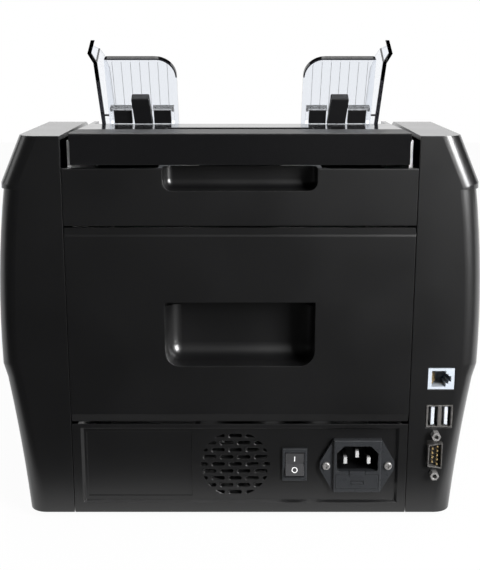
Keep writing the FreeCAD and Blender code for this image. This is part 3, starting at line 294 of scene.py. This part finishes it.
# The finishes of this machine.
case_black = moulded(
    "case_black", (0.0026, 0.0026, 0.0029), (0.0036, 0.0036, 0.0039), rough=(0.33, 0.38),
    grain=(0.35 * MM, 0.008 * MM), edge=0.6 * MM, gloss=0.7, coat=(0.85, 0.22))
cover_black = part_gloss(
    "cover_black", (0.0048, 0.0048, 0.0052), (0.0060, 0.0060, 0.0064), rough_gloss=0.10,
    rough_satin=0.42, grain=(0.5 * MM, 0.004 * MM), edge=0.5 * MM, gloss=0.8)
finger_black = moulded(
    "finger_black", (0.005, 0.005, 0.006), (0.008, 0.008, 0.009), rough=(0.45, 0.55),
    grain=(0.3 * MM, 0.02 * MM), edge=0.4 * MM, gloss=0.3)
fitting_black = moulded(
    "fitting_black", (0.008, 0.008, 0.0085), (0.013, 0.013, 0.0135), rough=(0.26, 0.34),
    grain=(0.25 * MM, 0.01 * MM), edge=0.4 * MM, gloss=0.9)
lip_black = moulded(
    "lip_black", (0.008, 0.008, 0.0085), (0.012, 0.012, 0.0125), rough=(0.14, 0.2),
    grain=(0.25 * MM, 0.004 * MM), gloss=0.9)
rocker_black = moulded(
    "rocker_black", (0.030, 0.030, 0.032), (0.040, 0.040, 0.042), rough=(0.28, 0.36),
    grain=(0.3 * MM, 0.015 * MM), edge=0.35 * MM)
# The mains inlet, fuse drawer and switch bezel darken into their throats: the second colour is
# painted shade.
inlet_black = socket_with_painted_depth_shade(
    "inlet_black", (0.022, 0.0235, 0.026), (0.004, 0.004, 0.0045), rough=(0.26, 0.36),
    face_until=INLET_FACE - 3 * MM, throat_from=INLET_FACE - 5 * MM)
rubber_black = moulded(
    "rubber_black", (0.014, 0.014, 0.014), (0.022, 0.022, 0.022), rough=(0.7, 0.85),
    grain=(0.5 * MM, 0.06 * MM), edge=0.5 * MM)
socket_black = moulded(
    "socket_black", (0.008, 0.007, 0.006), (0.014, 0.012, 0.010), rough=(0.45, 0.55),
    grain=(0.3 * MM, 0.01 * MM), edge=0.1 * MM)
window_dark = moulded(
    "window_dark", (0.006, 0.008, 0.010), (0.009, 0.011, 0.014), rough=(0.05, 0.09),
    grain=(0.8 * MM, 0.004 * MM), edge=0.4 * MM)
dark_steel = moulded(
    "dark_steel", (0.010, 0.010, 0.011), (0.016, 0.016, 0.017), rough=(0.4, 0.5),
    grain=(0.4 * MM, 0.02 * MM), edge=0.3 * MM)
divider_grey = moulded(
    "divider_grey", (0.07, 0.065, 0.06), (0.10, 0.095, 0.09), rough=(0.4, 0.5),
    grain=(0.3 * MM, 0.01 * MM), edge=0.1 * MM)
rib_shade = moulded(
    "rib_shade", (0.10, 0.105, 0.115), (0.14, 0.145, 0.16), rough=(0.4, 0.5),
    grain=(0.2 * MM, 0.01 * MM))
key_grey = moulded(
    "key_grey", (0.16, 0.165, 0.18), (0.20, 0.205, 0.22), rough=(0.42, 0.52),
    grain=(0.4 * MM, 0.03 * MM), edge=0.5 * MM)
# The network jack darkens into its throat: the second colour is painted shade.
jack_grey = socket_with_painted_depth_shade(
    "jack_grey", (0.42, 0.46, 0.51), (0.17, 0.19, 0.215), rough=(0.35, 0.45),
    face_until=CASE_REAR - 0.6 * MM, throat_from=CASE_REAR - 8 * MM)
white_plastic = moulded(
    "white_plastic", (0.46, 0.49, 0.53), (0.54, 0.57, 0.61), rough=(0.35, 0.45),
    grain=(0.3 * MM, 0.015 * MM), edge=0.2 * MM)
pale_plastic = moulded(
    "pale_plastic", (0.50, 0.50, 0.49), (0.58, 0.58, 0.57), rough=(0.38, 0.5),
    grain=(0.4 * MM, 0.02 * MM), edge=0.3 * MM)
mark_white = moulded(
    "mark_white", (0.78, 0.78, 0.78), (0.85, 0.85, 0.85), rough=(0.4, 0.5),
    grain=(0.2 * MM, 0.01 * MM))
board_green = moulded(
    "board_green", (0.012, 0.085, 0.035), (0.02, 0.115, 0.05), rough=(0.3, 0.42),
    grain=(1.2 * MM, 0.03 * MM), edge=0.1 * MM)
main_board_green = populated_board(
    "main_board_green", (0.012, 0.085, 0.035), (0.02, 0.115, 0.05), track=(0.027, 0.14, 0.062),
    package=(0.012, 0.012, 0.013), rough=(0.3, 0.42))
plated_steel = metal(
    "plated_steel", (0.26, 0.255, 0.25), (0.40, 0.39, 0.38), rough=(0.26, 0.38),
    stretch=(1, 0.06, 1), metallic=0.55)
shell_steel = metal(
    "shell_steel", (0.12, 0.115, 0.11), (0.19, 0.185, 0.18), rough=(0.26, 0.38),
    stretch=(1, 0.06, 1), metallic=0.55)
# The inlet pins darken from their tips down to their roots: the second colour is painted shade.
pin_nickel = socket_with_painted_depth_shade(
    "pin_nickel", (0.42, 0.42, 0.42), (0.012, 0.012, 0.012), rough=(0.28, 0.38),
    face_until=PIN_TIP, throat_from=PIN_TIP - 4 * MM)
zinc_sheet = metal(
    "zinc_sheet", (0.74, 0.74, 0.74), (0.86, 0.86, 0.86), rough=(0.34, 0.5),
    stretch=(1, 1, 0.2), metallic=0.35)
turned_steel = metal(
    "turned_steel", (0.50, 0.50, 0.51), (0.66, 0.66, 0.67), rough=(0.22, 0.34),
    stretch=(1, 0.3, 0.3))
gilt_contact = metal(
    "gilt_contact", (0.50, 0.36, 0.16), (0.64, 0.47, 0.23), rough=(0.2, 0.32),
    stretch=(1, 0.2, 1), metallic=0.6, edge=0.1 * MM)
sintered_bronze = metal(
    "sintered_bronze", (0.36, 0.22, 0.10), (0.50, 0.33, 0.17), rough=(0.38, 0.5),
    stretch=(1, 1, 1))
# The sheet's dark colour is painted shade on its cut edges and on the caps over the short fingers.
clear_acrylic = clear_sheet(
    "clear_acrylic", tint=(0.88, 0.91, 0.96), painted_shade_colour=(0.0008, 0.0008, 0.0011), haze=0.04, bend=1.49)

FINISHES = {
    case_black: ("left_housing", "right_housing", "upper_rear_panel", "rear_door",
                 "lower_rear_panel", "front_panel", "stacker_pocket", "feed_plate",
                 "hopper_floor"),
    cover_black: ("hopper_cover",),
    clear_acrylic: ("left_note_guide", "right_note_guide"),
    finger_black: ("left_guide_fingers", "right_guide_fingers"),
    fitting_black: ("fan_frame", "fan_rotor", "sensor_bars"),
    inlet_black: ("mains_inlet", "fuse_drawer", "switch_bezel"),
    rocker_black: ("switch_rocker",),
    pin_nickel: ("inlet_pins",),
    plated_steel: ("inlet_screws", "serial_standoffs", "hinge_pins", "drive_motor"),
    zinc_sheet: ("left_side_frame", "right_side_frame"),
    shell_steel: ("serial_socket", "usb_sockets"),
    dark_steel: ("board_bracket", "power_supply", "base_tray"),
    turned_steel: ("pickup_shaft", "feed_shaft", "stacker_shaft", "motor_pulley"),
    rubber_black: ("rubber_feet", "pickup_rollers", "feed_rollers", "transport_roller",
                   "separation_roller", "drive_belt"),
    board_green: ("control_board", "socket_board"),
    main_board_green: ("main_board",),
    gilt_contact: ("serial_pins",),
    sintered_bronze: ("shaft_bushings",),
    jack_grey: ("network_jack",),
    white_plastic: ("usb_tongues",),
    pale_plastic: ("stacker_wheels", "left_guide_rack", "right_guide_rack", "guide_pinion"),
    window_dark: ("display_lens",),
    key_grey: ("key_add", "key_clear", "key_menu", "key_mode", "key_start"),
}
for finish, members in FINISHES.items():
    for member in members:
        piece = nodes[member]
        piece.data.materials.clear()
        piece.data.materials.append(finish)


# Workshop steps for the pieces modelled here.

def clear_selection():
    bpy.ops.object.select_all(action="DESELECT")


def block(size):
    """A plain block about the origin, to be shaped further."""
    clear_selection()
    bpy.ops.mesh.primitive_cube_add(size=1)
    piece = bpy.context.object
    piece.scale = size
    bpy.ops.object.transform_apply(location=False, rotation=False, scale=True)
    return piece


def break_edges(width, segments=2):
    """Bevel every edge of the active piece."""
    bpy.ops.object.mode_set(mode="EDIT")
    bpy.ops.mesh.select_all(action="SELECT")
    bpy.ops.mesh.bevel(offset=width, segments=segments)
    bpy.ops.object.mode_set(mode="OBJECT")


def narrow_face(piece, facing, scale, centre):
    """Shrink the one face of a block that looks the given way, towards a centre."""
    for face in piece.data.polygons:
        face.select = face.normal.dot(Vector(facing)) > 0.5
    bpy.ops.object.mode_set(mode="EDIT")
    bpy.ops.mesh.select_mode(type="FACE")
    bpy.ops.transform.resize(value=scale, center_override=centre)
    bpy.ops.object.mode_set(mode="OBJECT")


def make_row(piece, count, step):
    """Turn the active piece into a row of its likes, a step apart."""
    row = piece.modifiers.new("row", "ARRAY")
    row.count = count
    row.use_relative_offset = False
    row.use_constant_offset = True
    row.constant_offset_displace = step
    bpy.ops.object.modifier_apply(modifier="row")


def settle(piece, name, finish, body):
    """Put the place into the mesh, dress the piece and hang it on its body."""
    clear_selection()
    piece.select_set(True)
    bpy.context.view_layer.objects.active = piece
    bpy.ops.object.transform_apply(location=True, rotation=True, scale=True)
    piece.name = name
    piece.data.materials.clear()
    piece.data.materials.append(finish)
    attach(piece, body)


def path_spot(x, across, along):
    """A spot given along the sloping note path, in the machine's own frame."""
    return Vector((x, PATH_Y + along * math.sin(LEAN) + across * math.cos(LEAN),
                   CASE_TOP + along * math.cos(LEAN) - across * math.sin(LEAN)))


SIDES = (("left", -1), ("right", 1))

# Dark strips on the front of each clear guide, as painted shade where the edges of its fine moulded
# ribs show as dark lines.
RIB_SIZE, RIB_BREAK = (0.2 * MM, 0.06 * MM, 72 * MM), 0.02 * MM
RIB_PITCH, RIB_COUNT, RIB_FIRST = 5.6 * MM, 7, 44.7 * MM
RIB_ACROSS, RIB_ALONG = -3.34 * MM, 6.6 * MM
for word, side in SIDES:
    rib = block(RIB_SIZE)
    break_edges(RIB_BREAK, segments=1)
    make_row(rib, RIB_COUNT, (side * RIB_PITCH, 0, 0))
    rib.location = path_spot(side * RIB_FIRST, RIB_ACROSS, RIB_ALONG)
    rib.rotation_euler = (-LEAN, 0, 0)
    settle(rib, word + "_guide_painted_rib_shade", rib_shade, word + "_guide")

# A small stop peg on the inner face of each guide's side plate.
PEG_RADIUS, PEG_LENGTH, PEG_BREAK = 0.6 * MM, 3.2 * MM, 0.12 * MM
PEG_OUT, PEG_ACROSS, PEG_ALONG = 84.2 * MM, 2 * MM, 7.5 * MM
for word, side in SIDES:
    clear_selection()
    bpy.ops.mesh.primitive_cylinder_add(vertices=20, radius=PEG_RADIUS, depth=PEG_LENGTH)
    peg = bpy.context.object
    break_edges(PEG_BREAK)
    peg.rotation_euler = (0, math.pi / 2, 0)
    peg.location = path_spot(side * PEG_OUT, PEG_ACROSS, PEG_ALONG)
    settle(peg, word + "_guide_peg", finger_black, word + "_guide")

# The stepped strip along the door's top edge, set a little behind the case's rear face and
# tapered to a thin foot.
DOOR_TOP, STRIP_WIDTH, STRIP_HEIGHT = 180.2 * MM, 199.4 * MM, 3.75 * MM
STRIP_BACK, STRIP_FACE, STRIP_FOOT = 1.25 * MM, 0.3 * MM, 0.06
strip = block((STRIP_WIDTH, STRIP_BACK - STRIP_FACE, STRIP_HEIGHT))
strip.location = (0, CASE_REAR - (STRIP_BACK + STRIP_FACE) / 2, DOOR_TOP - STRIP_HEIGHT / 2)
bpy.ops.object.transform_apply(location=True, rotation=False, scale=False)
narrow_face(strip, (0, 0, -1), (1, STRIP_FOOT, 1), (0, CASE_REAR - STRIP_FACE, 0))
settle(strip, "door_top_strip", case_black, "rear_door")

# Raised lips round one end of each slot of the fan grille.
GRILLE_X, GRILLE_Z, GRILLE_RADIUS = 2.9 * MM, 35.6 * MM, 20.8 * MM
SLOT_PITCH, SLOT_ROW, SLOT_END = 10.27 * MM, 4.55 * MM, 2.77 * MM
SLOT_ROWS, SLOT_COLUMNS = range(-4, 5), range(-3, 4)
LIP_RADIUS, LIP_THICK, LIP_CUT = 1.42 * MM, 0.42 * MM, 0.1 * MM
clear_selection()
bpy.ops.mesh.primitive_torus_add(major_segments=24, minor_segments=10, major_radius=LIP_RADIUS,
                                 minor_radius=LIP_THICK, rotation=(math.pi / 2, 0, 0))
lip = bpy.context.object
bpy.ops.object.transform_apply(location=False, rotation=True, scale=False)
bpy.ops.object.mode_set(mode="EDIT")
bpy.ops.mesh.select_all(action="SELECT")
bpy.ops.mesh.bisect(plane_co=(LIP_CUT, 0, 0), plane_no=(1, 0, 0), use_fill=True, clear_inner=True)
bpy.ops.object.mode_set(mode="OBJECT")
bpy.ops.object.shade_smooth_by_angle(angle=math.radians(50))
lips = []
for row in SLOT_ROWS:
    for column in SLOT_COLUMNS:
        x = SLOT_PITCH * (column + (0.5 if row % 2 else 0)) + SLOT_END
        z = SLOT_ROW * row
        if math.hypot(x, z) < GRILLE_RADIUS - LIP_RADIUS:
            copy = lip.copy()
            copy.data = lip.data.copy()
            copy.location = (GRILLE_X + x, BAY_FACE, GRILLE_Z + z)
            scene.collection.objects.link(copy)
            lips.append(copy)
clear_selection()
bpy.data.objects.remove(lip)
for copy in lips:
    copy.select_set(True)
bpy.context.view_layer.objects.active = lips[0]
bpy.ops.object.join()
settle(lips[0], "grille_lips", lip_black, "case")

# The serial socket's insulator, narrower on one long side as the shell round it is.
SERIAL_X, SERIAL_Z, INSULATOR_SUNK, INSULATOR_BREAK = -116.2 * MM, 43 * MM, 0.8 * MM, 0.3 * MM
INSULATOR_WIDTH, INSULATOR_DEPTH = 7.1 * MM, 2.3 * MM
INSULATOR_LONG, INSULATOR_SHORT = 14.7 * MM, 12.5 * MM
insulator = block((INSULATOR_WIDTH, INSULATOR_DEPTH, INSULATOR_LONG))
narrow_face(insulator, (1, 0, 0), (1, 1, INSULATOR_SHORT / INSULATOR_LONG), (0, 0, 0))
break_edges(INSULATOR_BREAK)
insulator.location = (SERIAL_X, CASE_REAR - INSULATOR_SUNK, SERIAL_Z)
settle(insulator, "serial_insulator", socket_black, "case")

# The bar between the two data ports.
DIVIDER_SIZE, DIVIDER_BREAK = (1.5 * MM, 0.3 * MM, 11.6 * MM), 0.05 * MM
DIVIDER_X, DIVIDER_PROUD, DIVIDER_Z = -118.35 * MM, 0.15 * MM, 66.9 * MM
divider = block(DIVIDER_SIZE)
break_edges(DIVIDER_BREAK)
divider.location = (DIVIDER_X, CASE_REAR + DIVIDER_PROUD, DIVIDER_Z)
settle(divider, "usb_divider", divider_grey, "case")

# The network socket's sprung contacts.
CONTACT_SIZE, CONTACT_BREAK = (0.35 * MM, 8 * MM, 0.4 * MM), 0.08 * MM
CONTACT_COUNT, CONTACT_PITCH, CONTACT_TURN = 8, 1.02 * MM, math.radians(-24)
CONTACT_X, CONTACT_DEPTH, JACK_Z = -114.9 * MM, 6 * MM, 90.3 * MM
contact = block(CONTACT_SIZE)
break_edges(CONTACT_BREAK)
make_row(contact, CONTACT_COUNT, (0, 0, CONTACT_PITCH))
contact.rotation_euler = (0, 0, CONTACT_TURN)
contact.location = (CONTACT_X, CASE_REAR - CONTACT_DEPTH,
                    JACK_Z - CONTACT_PITCH * (CONTACT_COUNT - 1) / 2)
settle(contact, "jack_contacts", gilt_contact, "case")

# Marks on the rocker: a bar on the half that is pressed for on, a ring on the other half.
ROCKER_TILT = math.radians(10)
ROCKER_PIVOT = Vector((-32.8, 119.9, 35.6)) * MM
ROCKER_END, ROCKER_RIM, ROCKER_DIP = 6.9 * MM, 3.6 * MM, 2.0 * MM
MARK_ALONG, INK = 3.4 * MM, 0.12 * MM
BAR_WIDTH, BAR_LENGTH, BAR_LIFT, BAR_BREAK = 0.55 * MM, 3.2 * MM, 0.02 * MM, 0.04 * MM
RING_RADIUS, RING_INNER = 1.75 * MM, 0.74


def on_rocker(along, half, lift):
    """A spot on the upper (half 1) or lower (half -1) rocker face, and the face's turn about X."""
    slope = math.atan2(ROCKER_RIM - ROCKER_DIP, ROCKER_END)
    y = ROCKER_DIP + (ROCKER_RIM - ROCKER_DIP) * along / ROCKER_END + lift
    z = half * along
    turned = (y * math.cos(ROCKER_TILT) - z * math.sin(ROCKER_TILT),
              y * math.sin(ROCKER_TILT) + z * math.cos(ROCKER_TILT))
    return ROCKER_PIVOT + Vector((0, *turned)), ROCKER_TILT - half * slope


spot, turn = on_rocker(MARK_ALONG, 1, BAR_LIFT)
bar = block((BAR_WIDTH, INK, BAR_LENGTH))
break_edges(BAR_BREAK)
bar.location = spot
bar.rotation_euler = (turn, 0, 0)
settle(bar, "rocker_on_mark", mark_white, "switch_rocker")

spot, turn = on_rocker(MARK_ALONG, -1, 0.0)
clear_selection()
bpy.ops.mesh.primitive_circle_add(vertices=48, radius=RING_RADIUS, location=spot,
                                  rotation=(turn + math.pi / 2, 0, 0))
ring = bpy.context.object
bpy.ops.object.mode_set(mode="EDIT")
bpy.ops.mesh.select_all(action="SELECT")
bpy.ops.mesh.extrude_edges_move(TRANSFORM_OT_translate={"value": (0, 0, 0)})
bpy.ops.transform.resize(value=(RING_INNER, RING_INNER, RING_INNER), center_override=spot)
bpy.ops.object.mode_set(mode="OBJECT")
wall = ring.modifiers.new("ink", "SOLIDIFY")
wall.thickness = INK
wall.offset = 0
bpy.ops.object.modifier_apply(modifier="ink")
settle(ring, "rocker_off_mark", mark_white, "switch_rocker")


# Studio: pale floor and backdrop, soft light, and the camera at the photograph's place.
WHITE = (1, 1, 1, 1)
ROOM_LIGHT = 0.03
FLOOR_SIZE, FLOOR_TONE, FLOOR_GLOW = 8, (0.82, 0.82, 0.82), 0.965
# Painted reflection: what glossy surfaces see of the floor is glowing white, bright under the
# machine and dark towards the camera, and brighter on the lamp's side as a painted pool of light.
FLOOR_MIRROR_NEAR, FLOOR_MIRROR_FAR = 0.62, 0.02
FLOOR_FADE_START, FLOOR_FADE_END = 0.135, 0.185
LAMP_SIDE_GAIN, LAMP_SIDE_FULL, LAMP_SIDE_EDGE = 1.6, -0.17, -0.13
BACKDROP_WIDTH, BACKDROP_HEIGHT, BACKDROP_Y = 8, 1.6, -2.2
BACKDROP_TONE, BACKDROP_GLOW = (0.85, 0.85, 0.85), 1.0


def seen_by_eye(tree, path):
    """1 for what the camera sees, straight or through clear sheet."""
    return reckon(tree, "MAXIMUM", path.outputs["Is Camera Ray"],
                  path.outputs["Is Transmission Ray"])


def studio_white(name, tone, glow, fades=False):
    """Matt white that also shows as white to the eye, in reflections and through clear sheet.
    Where it fades, what glossy surfaces see of it is a painted reflection: it falls off to the dark
    of the room behind the camera, and is brighter on the side of the lamp as a painted pool of
    light."""
    material = bpy.data.materials.new(name)
    material.use_nodes = True
    tree = material.node_tree
    tree.nodes.clear()
    path = tree.nodes.new("ShaderNodeLightPath")
    matt = tree.nodes.new("ShaderNodeBsdfDiffuse")
    matt.inputs["Color"].default_value = (*tone, 1)
    white = tree.nodes.new("ShaderNodeEmission")
    white.inputs["Color"].default_value = WHITE
    seen = tree.nodes.new("ShaderNodeMixShader")
    tree.links.new(reckon(tree, "MULTIPLY", seen_by_eye(tree, path), glow), seen.inputs["Fac"])
    tree.links.new(matt.outputs[0], seen.inputs[1])
    tree.links.new(white.outputs[0], seen.inputs[2])
    painted_floor_reflection = tree.nodes.new("ShaderNodeEmission")
    painted_floor_reflection.inputs["Color"].default_value = WHITE
    if fades:
        # Painted reflection and painted pool of light: the glow that glossy rays see varies with
        # place.
        spot = axes(tree, tree.nodes.new("ShaderNodeTexCoord").outputs["Object"])
        near = spread(tree, spot["Y"], FLOOR_MIRROR_NEAR, FLOOR_MIRROR_FAR,
                      FLOOR_FADE_START, FLOOR_FADE_END)
        painted_lamp_pool = spread(tree, spot["X"], LAMP_SIDE_GAIN, 1.0, LAMP_SIDE_FULL, LAMP_SIDE_EDGE)
        strength = reckon(tree, "MULTIPLY", near, painted_lamp_pool)
        tree.links.new(strength, painted_floor_reflection.inputs["Strength"])
    whole = tree.nodes.new("ShaderNodeMixShader")
    tree.links.new(path.outputs["Is Glossy Ray"], whole.inputs["Fac"])
    tree.links.new(seen.outputs[0], whole.inputs[1])
    tree.links.new(painted_floor_reflection.outputs[0], whole.inputs[2])
    out = tree.nodes.new("ShaderNodeOutputMaterial")
    tree.links.new(whole.outputs[0], out.inputs["Surface"])
    return material


clear_selection()
bpy.ops.mesh.primitive_plane_add(size=FLOOR_SIZE, location=(0, 0, 0))
floor = bpy.context.object
floor.name = "floor"
floor.data.materials.append(studio_white("floor_white", FLOOR_TONE, FLOOR_GLOW, fades=True))
clear_selection()
bpy.ops.mesh.primitive_plane_add(size=1, location=(0, BACKDROP_Y, BACKDROP_HEIGHT / 2),
                                 rotation=(math.pi / 2, 0, 0))
backdrop = bpy.context.object
backdrop.scale = (BACKDROP_WIDTH, BACKDROP_HEIGHT, 1)
backdrop.name = "backdrop"
backdrop.data.materials.append(studio_white("backdrop_white", BACKDROP_TONE, BACKDROP_GLOW))

world = bpy.data.worlds.new("studio")
scene.world = world
world.use_nodes = True
sky = world.node_tree
background = sky.nodes["Background"]
background.inputs["Color"].default_value = WHITE
eye = seen_by_eye(sky, sky.nodes.new("ShaderNodeLightPath"))
sky.links.new(spread(sky, eye, ROOM_LIGHT, 1.0, 0.0, 1.0), background.inputs["Strength"])


def softbox(name, place, aim, width, height, power):
    """A soft rectangular lamp at a place, turned towards its aim."""
    lamp = bpy.data.lights.new(name, "AREA")
    lamp.shape = "RECTANGLE"
    lamp.size = width
    lamp.size_y = height
    lamp.energy = power
    holder = bpy.data.objects.new(name, lamp)
    scene.collection.objects.link(holder)
    holder.location = place
    holder.rotation_mode = "QUATERNION"
    holder.rotation_quaternion = (Vector(aim) - Vector(place)).to_track_quat("-Z", "Y")


softbox("right_softbox", place=(-0.77, 0.88, 0.62), aim=(-0.1, 0.1, 0.16),
        width=0.45, height=0.8, power=28)
softbox("left_softbox", place=(1.4, 0.1, 0.7), aim=(0, 0.05, 0.15),
        width=0.6, height=0.9, power=2)
softbox("top_softbox", place=(0, -0.2, 1.5), aim=(0, 0, 0.2),
        width=1.4, height=1.0, power=10)

CAMERA_PLACE, CAMERA_TILT = (0, 0.6828, 0.2836), math.radians(76.3)
lens = bpy.data.cameras.new("photo_camera")
lens.lens = 63.41
lens.sensor_width = 36
lens.clip_start = 0.01
camera = bpy.data.objects.new("photo_camera", lens)
scene.collection.objects.link(camera)
camera.location = CAMERA_PLACE
camera.rotation_euler = (CAMERA_TILT, 0, math.pi)
scene.camera = camera
